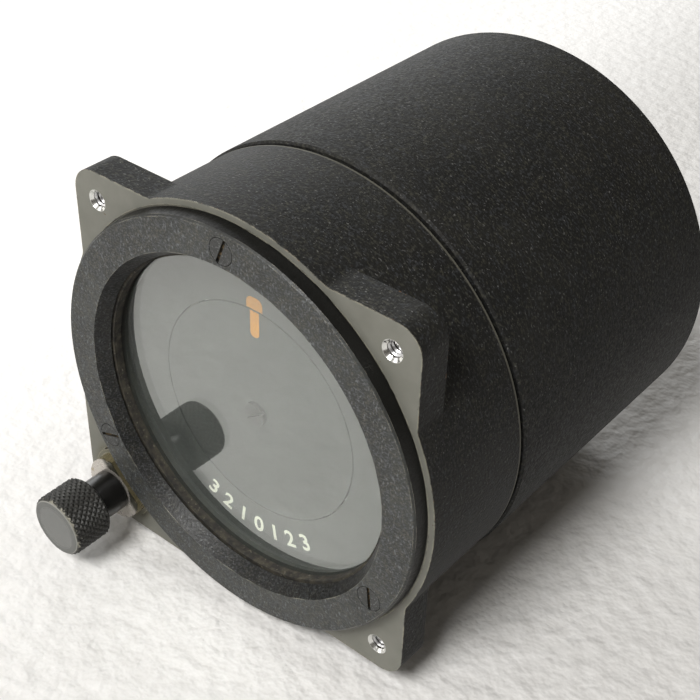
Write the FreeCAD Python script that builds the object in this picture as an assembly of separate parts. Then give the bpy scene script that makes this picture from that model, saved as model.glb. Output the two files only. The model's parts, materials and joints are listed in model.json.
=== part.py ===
import FreeCAD, Part

import math
import os

# Course indicator for a round panel cut-out, in millimetres.
# X is to the right of someone facing the dial, Y runs into the panel and Z is up.
# The origin is the centre of the flange's front face, on the instrument's axis.

Vector = FreeCAD.Vector
INTO_PANEL = Vector(0, 1, 0)

# Fits and gaps that many pieces share, and how far cutting tools run past a face
seat_gap = 0.02
screw_play = 0.1
tip_gap = 0.3
end_gap = 0.2
overshoot = 1.0
same_place = 0.01

# Panel mounting: three tapped lugs and the knob on the corners of one square
hole_spacing = 62.865
screw_hole_radius = 1.4
screw_hole_chamfer = 0.5
lug_margin = 5.37
lug_corner_radius = 4.8
lug_thickness = 6.35
lug_blend_radius = 3.0

# Front case: a cast barrel that carries the flange, the dial stack and the frame plate
barrel_to_screw_corner = 3.15
barrel_wall = 3.0
barrel_length = 23.8
barrel_edge_break = 0.4
ledge_width = 3.3
ledge_thickness = 2.0
shelf_width = 4.3
shelf_depth = 15.5
spigot_length = 6.0

# Rear case: a cup that slips over the front case's spigot
can_step = 0.4
can_wall = 2.08
can_floor = 2.5
can_end = 85.0
can_edge_break = 0.4
can_inner_corner = 1.5
seam_gap = 0.45
spigot_clearance = 0.08
seam_gasket_inset = 0.9

# Bezel ring and its three flush screws
bezel_setback = 1.4
bezel_draft = 0.28
bezel_height = 2.72
bezel_rebate_depth = 0.2
bezel_face_width = 6.5
bezel_bevel = 1.5
bezel_throat_depth = -0.05
bezel_edge_radius = 0.35
bezel_lip_width = 1.3
bezel_screw_head_radius = 2.35
bezel_screw_head_height = 1.5
bezel_screw_radius = 1.1
bezel_screw_length = 6.4
bezel_screw_angles = (90, 210, 330)
bezel_slot_angles = (68, 20, 96)

# Glass, gasket, spacer and dial, one behind the other
glass_rim = 2.3
glass_clearance = 0.18
gasket_front = 0.35
gasket_thickness = 1.7
gasket_overhang = 0.4
glass_thickness = 1.9
spacer_width = 2.8
spacer_height = 1.5
dial_thickness = 1.0
disc_radius = 21.25
disc_gap = 0.3
disc_thickness = 0.8

# Disc hub and centre screw
hub_flange_radius = 5.0
hub_flange_thickness = 0.8
hub_radius = 3.6
hub_length = 4.75
hub_web = 1.05
centre_screw_head_radius = 2.3
centre_screw_head_height = 0.8
centre_screw_radius = 1.2
centre_screw_length = 5.0
centre_slot_angle = 35
slot_width = 0.6
slot_depth = 0.5

# Setting train from the knob to the ring gear
gear_module = 0.5
gear_root_share = 1.25
pressure_angle = math.radians(20)
pinion_teeth = 23
idler_teeth = 22
backlash = 0.12
gear_front = 11.5
gear_width = 2.0
gear_clearance = 0.4
ring_gear_rim = 5.5
idler_hub_radius = 3.0
idler_post_radius = 1.5
running_clearance = 0.05
clip_thickness = 0.4
clip_width = 1.4
pocket_wall = 1.3
pocket_floor = 1.9
pocket_step = 0.1
idler_post_nose = 1.0
clip_mouth_share = 0.7

# Knob, its shaft and the plug bushing that stands in a low boss on the fourth corner
knob_lug_inset = 0.15
knob_boss_rim = 0.9
knob_boss_height = 0.8
bushing_height = 3.2
bushing_radius = 6.5
bushing_tail = 2.0
bezel_relief = 0.25
knob_shaft_radius = 1.6
packing_radius = 3.0
packing_depth = 1.6
packing_sink = 0.1
shaft_clip_gap = 0.4
knob_gap = 0.3
knob_collar_radius = 3.6
knob_collar_length = 5.8
knob_head_radius = 6.3
knob_head_length = 8.3
knob_chamfer = 0.65
knob_neck_radius = 0.5
knob_bore_floor = 2.2
set_screw_radius = 0.9
set_screw_angle = -45
set_screw_margin = 0.2
set_screw_sink = 0.2

# Frame plate, its screws and the pillars that the rear case is screwed to
plate_thickness = 2.5
plate_clearance = 0.3
plate_screw_radius = 1.1
plate_screw_head_radius = 1.9
plate_screw_head_height = 1.4
plate_screw_bite = 4.5
plate_screw_angles = (20, 110, 200, 290)
plate_screw_inset = 2.3
pillar_radius = 2.5
pillar_inset = 4.3
pillar_stud_radius = 1.5
pillar_angles = (0, 90, 180, 270)
case_screw_head_radius = 3.0
case_screw_head_height = 2.0
case_screw_bite = 6.0

# Stator housing, held to the frame plate by three clamps so that it can be turned
housing_gear_step = 0.75
housing_wall = 2.4
housing_flange_width = 2.0
housing_flange_gap = 0.2
housing_play = 0.08
housing_front_wall = 3.5
housing_end = 60.0
clamp_groove_lip = 1.2
clamp_groove_width = 2.0
clamp_groove_depth = 1.3
clamp_gap = 0.3
clamp_width = 6.0
clamp_foot = 5.0
clamp_screw_offset = 0.3
clamp_screw_radius = 1.25
clamp_screw_head_radius = 2.1
clamp_screw_head_height = 1.4
clamp_angles = (45, 165, 285)
gear_screw_inset = 2.4
gear_screw_depth = 2.6
gear_screw_radius = 1.0
gear_screw_head_radius = 1.7
gear_screw_head_height = 1.1
gear_screw_angles = (30, 120, 210, 300)

# Rotor shaft and its two ball bearings
shaft_radius = 2.38
shaft_end = 65.0
shaft_room = 1.2
bearing_radius = 6.35
bearing_width = 4.0
bearing_inner_rim = 1.15
bearing_outer_rim = 1.15
bearing_shield = 0.4
bearing_shield_gap = 0.12
bearing_boss_wall = 2.6
bearing_lip = 0.4
front_bearing_front = 14.4

# Windings and cores
core_front = 27.0
core_length = 20.0
core_back_iron = 3.1
air_gap = 0.4
slot_count = 12
slot_mouth = 1.4
slot_body_width = 4.0
slot_radial_depth = 6.3
tooth_tip_thickness = 1.8
end_turn_length = 4.0
rotor_neck_width = 9.0
rotor_shoe_thickness = 4.4
rotor_coil_length = 2.4
rotor_coil_height = 3.4
rotor_coil_margin = 0.6
coil_bar_margin = 0.4
coil_clearance = 0.1

# Slip rings, brushes and the end bell
slip_sleeve_radius = 4.2
slip_ring_radius = 5.2
slip_ring_width = 1.6
slip_ring_pitch = 2.6
slip_sleeve_front = 51.8
slip_sleeve_length = 5.6
brush_gap = 0.1
brush_width = 1.2
brush_height = 3.2
brush_length = 7.0
brush_block_width = 8.0
brush_block_height = 7.0
brush_reach = 3.0
end_bell_thickness = 2.5
end_bell_spigot = 2.0
end_bell_spigot_width = 2.0
end_bell_screw_bite = 4.0
end_bell_screw_radius = 0.8
end_bell_screw_head_radius = 1.8
end_bell_screw_head_height = 1.2
end_bell_screw_angles = (45, 135, 225, 315)

# Electrical receptacle on the rear wall
receptacle_flange = 30.2
receptacle_flange_thickness = 2.5
receptacle_corner_radius = 3.0
receptacle_gasket_thickness = 0.8
receptacle_shell_radius = 11.1
receptacle_shell_wall = 1.8
receptacle_shell_length = 13.7
receptacle_tail = 6.0
receptacle_hole_clearance = 0.3
receptacle_screw_spacing = 23.0
receptacle_screw_radius = 1.4
receptacle_screw_head_radius = 2.4
receptacle_screw_head_height = 1.6
receptacle_recess = 8.0
receptacle_key_width = 1.6
receptacle_key_height = 1.0
contact_radius = 1.2
contact_socket_radius = 0.8
contact_socket_depth = 7.0
contact_circle_radius = 5.2
contact_count = 5
contact_tail = 4.0
insert_setback = 0.5
receptacle_screw_stand_out = 1.0

# Places that follow from the sizes above
hole_offset = hole_spacing / 2
knob_distance = hole_offset * math.sqrt(2)
barrel_radius = knob_distance - barrel_to_screw_corner
lug_half = hole_offset + lug_margin
knob_lug_half = barrel_radius - knob_lug_inset
cavity_radius = barrel_radius - barrel_wall
shelf_radius = cavity_radius - shelf_width
can_radius = barrel_radius + can_step
can_bore_radius = can_radius - can_wall
spigot_radius = can_bore_radius - spigot_clearance
can_front = barrel_length + seam_gap
can_floor_front = can_end - can_floor
bezel_base_radius = barrel_radius - bezel_setback
bezel_front_radius = bezel_base_radius - bezel_draft
bezel_mouth_radius = bezel_front_radius - bezel_face_width
bezel_throat_radius = bezel_mouth_radius - bezel_bevel
bezel_screw_circle_radius = bezel_front_radius - bezel_face_width / 2 - bezel_draft
glass_radius = bezel_throat_radius + glass_rim
glass_bore_radius = glass_radius + glass_clearance
ledge_radius = glass_bore_radius - ledge_width
glass_front = gasket_front + gasket_thickness
spacer_front = glass_front + glass_thickness
dial_front = spacer_front + spacer_height
ledge_front = dial_front + dial_thickness
ledge_back = ledge_front + ledge_thickness
disc_back = dial_front + disc_thickness
hub_back = disc_back + hub_length
shaft_front = disc_back + hub_web
plate_front = shelf_depth
plate_back = plate_front + plate_thickness
gear_back = gear_front + gear_width
pinion_radius = gear_module * pinion_teeth / 2
idler_radius = gear_module * idler_teeth / 2
ring_gear_teeth = math.ceil(2 * (knob_distance - 2 * idler_radius - pinion_radius) / gear_module)
ring_gear_radius = gear_module * ring_gear_teeth / 2
pocket_radius = pinion_radius + gear_module + gear_clearance
channel_radius = idler_radius + gear_module + gear_clearance
bushing_front = -bushing_height
bushing_back = gear_front - bushing_tail
pocket_front = bushing_back + pocket_step
pocket_back = gear_back + gear_clearance + end_gap
bulge_back = pocket_back + pocket_floor
shaft_clip_front = bushing_back + shaft_clip_gap
idler_clip_front = gear_front - end_gap - clip_thickness
channel_front = gear_front - idler_post_nose - pocket_step
knob_back = bushing_front - knob_gap
knob_shoulder = knob_back - knob_collar_length
knob_face = knob_shoulder - knob_head_length
housing_radius = ring_gear_radius - housing_gear_step
housing_bore_radius = housing_radius - housing_wall
housing_flange_radius = housing_radius + housing_flange_width
housing_flange_back = plate_front - housing_flange_gap
housing_front = gear_back
groove_front = plate_back + clamp_groove_lip
groove_back = groove_front + clamp_groove_width
groove_radius = housing_radius - clamp_groove_depth
bearing_boss_radius = bearing_radius + bearing_boss_wall
front_bearing_back = front_bearing_front + bearing_width
core_back = core_front + core_length
slot_root_radius = housing_bore_radius - core_back_iron
slot_inner_radius = slot_root_radius - slot_radial_depth
core_bore_radius = slot_inner_radius - tooth_tip_thickness
rotor_radius = core_bore_radius - air_gap
rotor_neck_radius = rotor_radius - rotor_shoe_thickness
end_bell_back = housing_end + end_bell_thickness
rear_bearing_front = housing_end + bearing_lip
rear_bearing_back = rear_bearing_front + bearing_width
flange_front_of_receptacle = can_end + receptacle_gasket_thickness
flange_back_of_receptacle = flange_front_of_receptacle + receptacle_flange_thickness
receptacle_mouth = flange_back_of_receptacle + receptacle_shell_length
receptacle_bore_radius = receptacle_shell_radius - receptacle_shell_wall
insert_face = receptacle_mouth - receptacle_recess
plate_screw_circle_radius = cavity_radius - plate_screw_inset
pillar_circle_radius = cavity_radius - pillar_inset
gear_screw_circle_radius = housing_radius - gear_screw_inset
clamp_screw_circle_radius = housing_radius + clamp_gap + clamp_foot / 2 + clamp_screw_offset
end_bell_screw_circle_radius = housing_bore_radius + housing_wall / 2
brush_root_radius = slip_ring_radius + brush_gap
receptacle_front = can_floor_front - receptacle_tail
insert_front = receptacle_front + insert_setback
spigot_back = barrel_length + spigot_length

# The idler's axis closes the triangle between the main axis and the knob's axis
knob_direction = math.radians(225)
idler_distance = ring_gear_radius + idler_radius
idler_to_knob = idler_radius + pinion_radius
idler_swing = math.acos((knob_distance ** 2 + idler_distance ** 2 - idler_to_knob ** 2)
                        / (2 * knob_distance * idler_distance))
idler_direction = knob_direction + idler_swing


def polar(radius, angle, y=0.0):
    return Vector(radius * math.cos(angle), y, radius * math.sin(angle))


def polar_degrees(radius, degrees, y=0.0):
    return polar(radius, math.radians(degrees), y)


knob_axis = polar(knob_distance, knob_direction)
idler_axis = polar(idler_distance, idler_direction)


def rod(radius, front, back, centre=Vector(0, 0, 0)):
    base = Vector(centre.x, front, centre.z)
    return Part.makeCylinder(radius, back - front, base, INTO_PANEL)


def tube(outer, inner, front, back, centre=Vector(0, 0, 0)):
    return rod(outer, front, back, centre).cut(rod(inner, front, back, centre))


def cone(front_radius, back_radius, front, back, centre=Vector(0, 0, 0)):
    base = Vector(centre.x, front, centre.z)
    return Part.makeCone(front_radius, back_radius, back - front, base, INTO_PANEL)


def turned(profile, centre=Vector(0, 0, 0)):
    """A turned piece: the profile is a closed list of (radius, y) corners."""
    corners = [Vector(radius, y, 0) for radius, y in profile]
    face = Part.Face(Part.makePolygon(corners + corners[:1]))
    solid = face.revolve(Vector(0, 0, 0), INTO_PANEL, 360)
    solid.translate(Vector(centre.x, 0, centre.z))
    return solid


def turn(shape, degrees, centre=Vector(0, 0, 0)):
    """Turn a copy about the line along Y through centre, from +X towards +Z."""
    copy = shape.copy()
    copy.rotate(Vector(centre.x, 0, centre.z), INTO_PANEL, -degrees)
    return copy


def box(x0, x1, y0, y1, z0, z1):
    return Part.makeBox(x1 - x0, y1 - y0, z1 - z0, Vector(x0, y0, z0))


def round_edges(shape, radius, wanted):
    edges = [edge for edge in shape.Edges if wanted(edge)]
    return shape.makeFillet(radius, edges)


def is_along_y(edge):
    ends = edge.Vertexes
    if len(ends) != 2:
        return False
    a = ends[0].Point
    b = ends[1].Point
    return abs(a.x - b.x) < same_place and abs(a.z - b.z) < same_place


def distance_from_axis(point):
    return math.hypot(point.x, point.z)


def slotted_screw(head_radius, head_height, shank_radius, seat, tip, centre, slot_degrees=0.0):
    """A cheese-head screw whose head lies in front of its seat; it points into the panel."""
    head = rod(head_radius, seat - head_height, seat, centre)
    slot = box(-head_radius, head_radius, seat - head_height, seat - head_height + slot_depth,
               -slot_width / 2, slot_width / 2)
    slot.translate(Vector(centre.x, 0, centre.z))
    head = head.cut(turn(slot, slot_degrees, centre))
    return head.fuse(rod(shank_radius, seat, tip, centre)).removeSplitter()


def rear_screw(head_radius, head_height, shank_radius, seat, tip, centre, slot_degrees=0.0):
    """The same screw turned round: its head lies behind its seat."""
    screw = slotted_screw(head_radius, head_height, shank_radius, -seat, -tip, Vector(0, 0, 0),
                          slot_degrees)
    screw.rotate(Vector(0, 0, 0), Vector(0, 0, 1), 180)
    screw.translate(Vector(centre.x, 0, centre.z))
    return screw


def involute(angle):
    return math.tan(angle) - angle


def gear(teeth, front, back, centre, tooth_direction):
    """Solid spur gear blank with a tooth centred on tooth_direction, in radians."""
    pitch_radius = gear_module * teeth / 2
    base_radius = pitch_radius * math.cos(pressure_angle)
    tip_radius = pitch_radius + gear_module
    root_radius = pitch_radius - gear_root_share * gear_module
    start_radius = max(base_radius, root_radius)
    half_tooth = (math.pi * gear_module / 2 - backlash) / (2 * pitch_radius)

    def half_angle(radius):
        return half_tooth + involute(pressure_angle) - involute(math.acos(base_radius / radius))

    def point(radius, angle):
        return polar(radius, angle, front) + Vector(centre.x, 0, centre.z)

    flank = [start_radius, (start_radius + tip_radius) / 2, tip_radius]
    edges = []
    pitch_angle = 2 * math.pi / teeth
    for tooth in range(teeth):
        middle = tooth_direction + tooth * pitch_angle
        rising = [point(radius, middle - half_angle(radius)) for radius in flank]
        falling = [point(radius, middle + half_angle(radius)) for radius in reversed(flank)]
        foot_in = point(root_radius, middle - half_angle(start_radius))
        foot_out = point(root_radius, middle + half_angle(start_radius))
        next_foot = point(root_radius, middle + pitch_angle - half_angle(start_radius))
        if start_radius > root_radius:
            edges.append(Part.makeLine(foot_in, rising[0]))
        edges.append(Part.Arc(*rising).toShape())
        edges.append(Part.makeLine(rising[-1], falling[0]))
        edges.append(Part.Arc(*falling).toShape())
        if start_radius > root_radius:
            edges.append(Part.makeLine(falling[-1], foot_out))
        edges.append(Part.makeLine(foot_out, next_foot))
    return Part.Face(Part.Wire(edges)).extrude(Vector(0, back - front, 0))


def corner_lug(half, corner_radius, front, back, x_sign, z_sign):
    """One rounded corner of a square plate, from the barrel's middle out to the corner."""
    lug = box(0, half, front, back, 0, half)
    lug = round_edges(lug, corner_radius, lambda edge: is_along_y(edge)
                      and edge.Vertexes[0].Point.x > half - same_place
                      and edge.Vertexes[0].Point.z > half - same_place)
    turns = {(1, 1): 0, (-1, 1): 90, (-1, -1): 180, (1, -1): 270}
    return turn(lug, turns[(x_sign, z_sign)])


def make_front_case():
    case = turned([(0, 0), (barrel_radius, 0), (barrel_radius, barrel_length - barrel_edge_break),
                   (barrel_radius - barrel_edge_break, barrel_length),
                   (spigot_radius, barrel_length), (spigot_radius, spigot_back),
                   (0, spigot_back)])
    screw_corners = [(1, 1), (-1, 1), (1, -1)]
    for x_sign, z_sign in screw_corners:
        case = case.fuse(corner_lug(lug_half, lug_corner_radius, 0, lug_thickness, x_sign, z_sign))
    case = case.fuse(corner_lug(lug_half, lug_corner_radius, 0, bulge_back, -1, -1))
    case = case.removeSplitter()

    def is_lug_root(edge):
        if not is_along_y(edge):
            return False
        point = edge.Vertexes[0].Point
        return abs(distance_from_axis(point) - barrel_radius) < same_place

    case = round_edges(case, lug_blend_radius, is_lug_root)

    knob_lug = corner_lug(knob_lug_half, knob_lug_half - hole_offset, 0, lug_thickness, -1, -1)
    knob_lug = knob_lug.fuse(rod(bushing_radius + knob_boss_rim, -knob_boss_height, lug_thickness,
                                 knob_axis))
    knob_lug = knob_lug.cut(rod(bezel_base_radius + bezel_relief, -knob_boss_height - overshoot, 0))
    case = case.fuse(knob_lug)
    case = case.fuse(rod(pocket_radius + pocket_wall, lug_thickness - overshoot, bulge_back,
                         knob_axis))

    case = case.cut(rod(bezel_base_radius + bezel_relief, -overshoot, bezel_rebate_depth))
    case = case.cut(rod(glass_bore_radius, -overshoot, ledge_front))
    case = case.cut(rod(ledge_radius, -overshoot, ledge_back))
    case = case.cut(rod(shelf_radius, ledge_back, plate_front))
    case = case.cut(rod(cavity_radius, plate_front, spigot_back + overshoot))
    case = case.cut(rod(bushing_radius, -knob_boss_height - overshoot, pocket_front, knob_axis))
    case = case.cut(rod(pocket_radius, pocket_front, pocket_back, knob_axis))
    case = case.cut(rod(channel_radius, channel_front, spigot_back + overshoot, idler_axis))

    for x_sign, z_sign in screw_corners:
        place = Vector(x_sign * hole_offset, 0, z_sign * hole_offset)
        case = case.cut(rod(screw_hole_radius, -overshoot, lug_thickness + overshoot, place))
        case = case.cut(cone(screw_hole_radius + screw_hole_chamfer, screw_hole_radius,
                             0, screw_hole_chamfer, place))
    for degrees in bezel_screw_angles:
        place = polar_degrees(bezel_screw_circle_radius, degrees)
        case = case.cut(rod(bezel_screw_radius, -overshoot, bezel_screw_length, place))
    for degrees in plate_screw_angles:
        place = polar_degrees(plate_screw_circle_radius, degrees)
        case = case.cut(rod(plate_screw_radius, plate_front - plate_screw_bite, plate_front, place))
    return case.removeSplitter()


def make_rear_case():
    edge = can_edge_break
    corner = can_inner_corner
    case = turned([(can_bore_radius, can_front), (can_radius - edge, can_front),
                   (can_radius, can_front + edge), (can_radius, can_end - edge),
                   (can_radius - edge, can_end), (0, can_end), (0, can_floor_front),
                   (can_bore_radius - corner, can_floor_front),
                   (can_bore_radius, can_floor_front - corner)])
    case = case.cut(rod(receptacle_shell_radius + receptacle_hole_clearance,
                        can_floor_front - overshoot, can_end + overshoot))
    for degrees in pillar_angles:
        place = polar_degrees(pillar_circle_radius, degrees)
        case = case.cut(rod(pillar_stud_radius + screw_play, can_floor_front - overshoot,
                            can_end + overshoot, place))
    for place in receptacle_screw_places():
        case = case.cut(rod(receptacle_screw_radius, can_floor_front - overshoot,
                            can_end + overshoot, place))
    return case


def make_case_gasket():
    return tube(barrel_radius - seam_gasket_inset, spigot_radius, barrel_length, can_front)


def make_bezel_ring():
    edge = bezel_edge_radius
    lip_outer = glass_bore_radius - glass_clearance
    lip_inner = lip_outer - bezel_lip_width
    front = -bezel_height
    ring = turned([(bezel_throat_radius, bezel_throat_depth), (bezel_mouth_radius, front),
                   (bezel_front_radius - edge, front), (bezel_front_radius, front + edge),
                   (bezel_base_radius, bezel_rebate_depth), (lip_outer, bezel_rebate_depth),
                   (lip_outer, gasket_front), (lip_inner, gasket_front),
                   (lip_inner, bezel_throat_depth)])
    for degrees in bezel_screw_angles:
        place = polar_degrees(bezel_screw_circle_radius, degrees)
        ring = ring.cut(rod(bezel_screw_radius + screw_play, front - overshoot, overshoot, place))
        ring = ring.cut(rod(bezel_screw_head_radius + screw_play, front - overshoot,
                            front + bezel_screw_head_height, place))
    return ring


def make_bezel_screws():
    screws = []
    for degrees, slot_degrees in zip(bezel_screw_angles, bezel_slot_angles):
        place = polar_degrees(bezel_screw_circle_radius, degrees)
        seat = -bezel_height + bezel_screw_head_height
        screws.append(slotted_screw(bezel_screw_head_radius, bezel_screw_head_height,
                                    bezel_screw_radius, seat, bezel_screw_length - tip_gap, place,
                                    slot_degrees))
    return Part.makeCompound(screws)


def make_disc_hub():
    return turned([(centre_screw_radius + screw_play, disc_back), (hub_flange_radius, disc_back),
                   (hub_flange_radius, disc_back + hub_flange_thickness),
                   (hub_radius, disc_back + hub_flange_thickness), (hub_radius, hub_back),
                   (shaft_radius, hub_back), (shaft_radius, shaft_front),
                   (centre_screw_radius + screw_play, shaft_front)])


def make_knob():
    chamfer = knob_chamfer
    knob = turned([(0, knob_face), (knob_head_radius - chamfer, knob_face),
                   (knob_head_radius, knob_face + chamfer),
                   (knob_head_radius, knob_shoulder - chamfer),
                   (knob_head_radius - chamfer, knob_shoulder),
                   (knob_collar_radius + knob_neck_radius, knob_shoulder),
                   (knob_collar_radius, knob_shoulder + knob_neck_radius),
                   (knob_collar_radius, knob_back), (0, knob_back)], knob_axis)
    knob = knob.cut(rod(knob_shaft_radius, knob_face + knob_bore_floor, knob_back + overshoot,
                        knob_axis))
    return knob.cut(set_screw_bar(0, knob_collar_radius + overshoot, set_screw_radius))


def set_screw_bar(inner, outer, radius):
    """A bar along the set screw's axis, square to the knob's shaft."""
    direction = polar_degrees(1, set_screw_angle)
    y = knob_shoulder + knob_neck_radius + set_screw_radius + set_screw_margin
    start = Vector(knob_axis.x, y, knob_axis.z) + direction * inner
    return Part.makeCylinder(radius, outer - inner, start, direction)


def make_knob_set_screw():
    return set_screw_bar(knob_shaft_radius, knob_collar_radius - set_screw_sink,
                         set_screw_radius - seat_gap)


def make_knob_shaft():
    shaft_back = pocket_back - gear_clearance
    shaft = rod(knob_shaft_radius, knob_face + knob_bore_floor, shaft_back, knob_axis)
    return shaft.cut(tube(knob_shaft_radius + overshoot, knob_shaft_radius - clip_thickness,
                          shaft_clip_front, shaft_clip_front + clip_thickness, knob_axis))


def make_knob_bushing():
    plug = rod(bushing_radius - seat_gap, bushing_front, bushing_back, knob_axis)
    plug = plug.cut(rod(bezel_base_radius + bezel_relief, bushing_front - overshoot,
                        bezel_rebate_depth))
    plug = plug.cut(rod(knob_shaft_radius + running_clearance, bushing_front - overshoot,
                        bushing_back + overshoot, knob_axis))
    return plug.cut(rod(packing_radius, bushing_front - overshoot,
                        bushing_front + packing_depth, knob_axis))


def make_shaft_packing():
    return tube(packing_radius - seat_gap, knob_shaft_radius + running_clearance,
                bushing_front + packing_sink, bushing_front + packing_depth, knob_axis)


def open_ring(shaft, front, centre, mouth_degrees):
    """A retaining clip: a flat ring with an open mouth, sprung into a groove in the shaft."""
    ring = tube(shaft + clip_width, shaft - clip_thickness, front, front + clip_thickness, centre)
    half_mouth = clip_mouth_share * shaft
    mouth = box(0, shaft + clip_width + overshoot, front - overshoot,
                front + clip_thickness + overshoot, -half_mouth, half_mouth)
    mouth.translate(Vector(centre.x, 0, centre.z))
    return ring.cut(turn(mouth, mouth_degrees, centre))


def make_ring_gear():
    blank = gear(ring_gear_teeth, gear_front, gear_back, Vector(0, 0, 0), idler_direction)
    blank = blank.cut(rod(ring_gear_radius - ring_gear_rim, gear_front - overshoot,
                          gear_back + overshoot))
    for degrees in gear_screw_angles:
        place = polar_degrees(gear_screw_circle_radius, degrees)
        blank = blank.cut(rod(gear_screw_radius, gear_front - overshoot, gear_back + overshoot,
                              place))
    return blank


def idler_gap_direction():
    return idler_direction + math.pi


def make_idler_gear():
    half_pitch = math.pi / idler_teeth
    wheel = gear(idler_teeth, gear_front, gear_back, idler_axis, idler_gap_direction() + half_pitch)
    wheel = wheel.fuse(rod(idler_hub_radius, gear_back, plate_front - end_gap, idler_axis))
    return wheel.cut(rod(idler_post_radius + running_clearance, gear_front - overshoot,
                         plate_front, idler_axis))


def make_knob_pinion():
    to_knob = knob_axis - idler_axis
    mesh_direction = math.atan2(to_knob.z, to_knob.x)
    idler_pitch = 2 * math.pi / idler_teeth
    past_gap = (mesh_direction - idler_gap_direction()) % idler_pitch
    arc_past_gap = past_gap * idler_radius
    tooth_direction = mesh_direction + math.pi + arc_past_gap / pinion_radius
    wheel = gear(pinion_teeth, gear_front, gear_back, knob_axis, tooth_direction)
    return wheel.cut(rod(knob_shaft_radius, gear_front - overshoot, gear_back + overshoot,
                         knob_axis))


def make_idler_post():
    post = rod(idler_post_radius, gear_front - idler_post_nose, plate_back, idler_axis)
    return post.cut(tube(idler_post_radius + overshoot, idler_post_radius - clip_thickness,
                         idler_clip_front, idler_clip_front + clip_thickness, idler_axis))


def make_mounting_plate():
    plate = tube(cavity_radius - plate_clearance, housing_radius + housing_play, plate_front,
                 plate_back)

    def drill(radius, place):
        return plate.cut(rod(radius, plate_front - overshoot, plate_back + overshoot, place))

    for degrees in plate_screw_angles:
        place = polar_degrees(plate_screw_circle_radius, degrees)
        plate = drill(plate_screw_radius + screw_play, place)
    for degrees in pillar_angles:
        place = polar_degrees(pillar_circle_radius, degrees)
        plate = drill(pillar_stud_radius, place)
    for degrees in clamp_angles:
        place = polar_degrees(clamp_screw_circle_radius, degrees)
        plate = drill(clamp_screw_radius, place)
    return drill(idler_post_radius, idler_axis)


def make_plate_screws():
    screws = []
    for degrees in plate_screw_angles:
        place = polar_degrees(plate_screw_circle_radius, degrees)
        screws.append(rear_screw(plate_screw_head_radius, plate_screw_head_height,
                                 plate_screw_radius, plate_back,
                                 plate_front - plate_screw_bite + tip_gap, place, degrees))
    return Part.makeCompound(screws)


def make_case_pillars():
    pillars = []
    for degrees in pillar_angles:
        place = polar_degrees(pillar_circle_radius, degrees)
        pillar = rod(pillar_radius, plate_back, can_floor_front, place)
        pillar = pillar.fuse(rod(pillar_stud_radius, plate_front + end_gap, plate_back, place))
        pillar = pillar.cut(rod(pillar_stud_radius, can_floor_front - case_screw_bite,
                                can_floor_front, place))
        pillars.append(pillar.removeSplitter())
    return Part.makeCompound(pillars)


def make_case_screws():
    screws = []
    for degrees in pillar_angles:
        place = polar_degrees(pillar_circle_radius, degrees)
        screws.append(rear_screw(case_screw_head_radius, case_screw_head_height,
                                 pillar_stud_radius, can_end,
                                 can_floor_front - case_screw_bite + tip_gap, place, degrees + 30))
    return Part.makeCompound(screws)


def make_stator_clamps():
    clamps = []
    half = clamp_width / 2
    toe_front = groove_front + clamp_gap
    toe_back = groove_back - clamp_gap
    for degrees in clamp_angles:
        foot = box(housing_radius + clamp_gap, housing_radius + clamp_gap + clamp_foot,
                   plate_back, toe_back, -half, half)
        toe = box(groove_radius + clamp_gap, housing_radius + clamp_gap + overshoot,
                  toe_front, toe_back, -half, half)
        clamp = foot.fuse(toe).removeSplitter()
        clamp = clamp.cut(rod(groove_radius + clamp_gap, toe_front - overshoot,
                              toe_back + overshoot))
        clamp = clamp.cut(rod(clamp_screw_radius + screw_play, plate_back - overshoot,
                              toe_back + overshoot, Vector(clamp_screw_circle_radius, 0, 0)))
        clamps.append(turn(clamp, degrees))
    return Part.makeCompound(clamps)


def make_clamp_screws():
    screws = []
    for degrees in clamp_angles:
        place = polar_degrees(clamp_screw_circle_radius, degrees)
        screws.append(rear_screw(clamp_screw_head_radius, clamp_screw_head_height,
                                 clamp_screw_radius, groove_back - clamp_gap,
                                 plate_front + tip_gap, place, degrees + 70))
    return Part.makeCompound(screws)


def make_stator_housing():
    bore = housing_bore_radius
    housing = turned([(0, housing_front), (housing_flange_radius, housing_front),
                      (housing_flange_radius, housing_flange_back),
                      (housing_radius, housing_flange_back), (housing_radius, groove_front),
                      (groove_radius, groove_front), (groove_radius, groove_back),
                      (housing_radius, groove_back), (housing_radius, housing_end),
                      (bore, housing_end), (bore, housing_front + housing_front_wall),
                      (bearing_boss_radius, housing_front + housing_front_wall),
                      (bearing_boss_radius, front_bearing_back + bearing_lip),
                      (0, front_bearing_back + bearing_lip)])
    housing = housing.cut(rod(bearing_radius, front_bearing_front,
                              front_bearing_back + overshoot))
    housing = housing.cut(rod(shaft_radius + shaft_room, housing_front - overshoot,
                              front_bearing_front))
    for degrees in gear_screw_angles:
        place = polar_degrees(gear_screw_circle_radius, degrees)
        housing = housing.cut(rod(gear_screw_radius, housing_front - overshoot,
                                  housing_front + gear_screw_depth, place))
    for degrees in end_bell_screw_angles:
        place = polar_degrees(end_bell_screw_circle_radius, degrees)
        housing = housing.cut(rod(end_bell_screw_radius,
                                  housing_end - end_bell_screw_bite - tip_gap,
                                  housing_end + overshoot, place))
    return housing


def make_gear_screws():
    screws = []
    for degrees in gear_screw_angles:
        place = polar_degrees(gear_screw_circle_radius, degrees)
        screws.append(slotted_screw(gear_screw_head_radius, gear_screw_head_height,
                                    gear_screw_radius, gear_front,
                                    housing_front + gear_screw_depth - tip_gap, place,
                                    degrees + 20))
    return Part.makeCompound(screws)


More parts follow.
